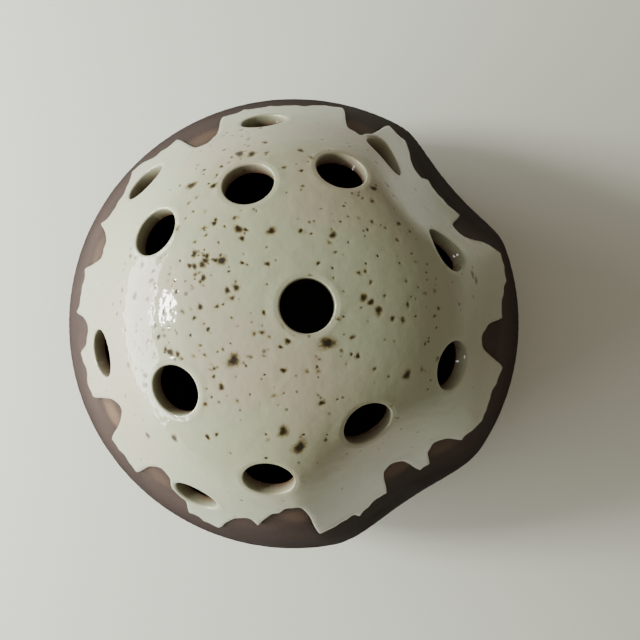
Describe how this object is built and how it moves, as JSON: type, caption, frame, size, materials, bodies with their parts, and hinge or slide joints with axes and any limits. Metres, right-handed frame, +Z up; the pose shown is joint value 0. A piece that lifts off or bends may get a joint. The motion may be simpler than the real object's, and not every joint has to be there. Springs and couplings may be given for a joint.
{
  "type": "flower frog",
  "caption": "Closed stoneware pot with a pierced, speckle-glazed dome that holds cut stems upright over water; bare clay belly with two pressed dents.",
  "frame": {"origin": "middle of the foot ring, on the table", "axes": "+Z up through the dome; +X to the lobe between the two dents; +Y square to both"},
  "size_m": [0.0996, 0.0996, 0.082],
  "materials": {
    "bare_clay": "bare iron-bearing stoneware, satin, mauve-brown",
    "inside_clay": "bare stoneware inside the pot, dull dark brown",
    "foot_clay": "bare stoneware foot, sanded smooth, dull",
    "speckled_glaze": "glossy cream glaze with rust-brown iron specks"
  },
  "bodies": {
    "root": {"clay_wall": "bare_clay", "floor_slab": "inside_clay", "foot_ring": "foot_clay", "glaze_coat": "speckled_glaze"}
  },
  "joints": []
}
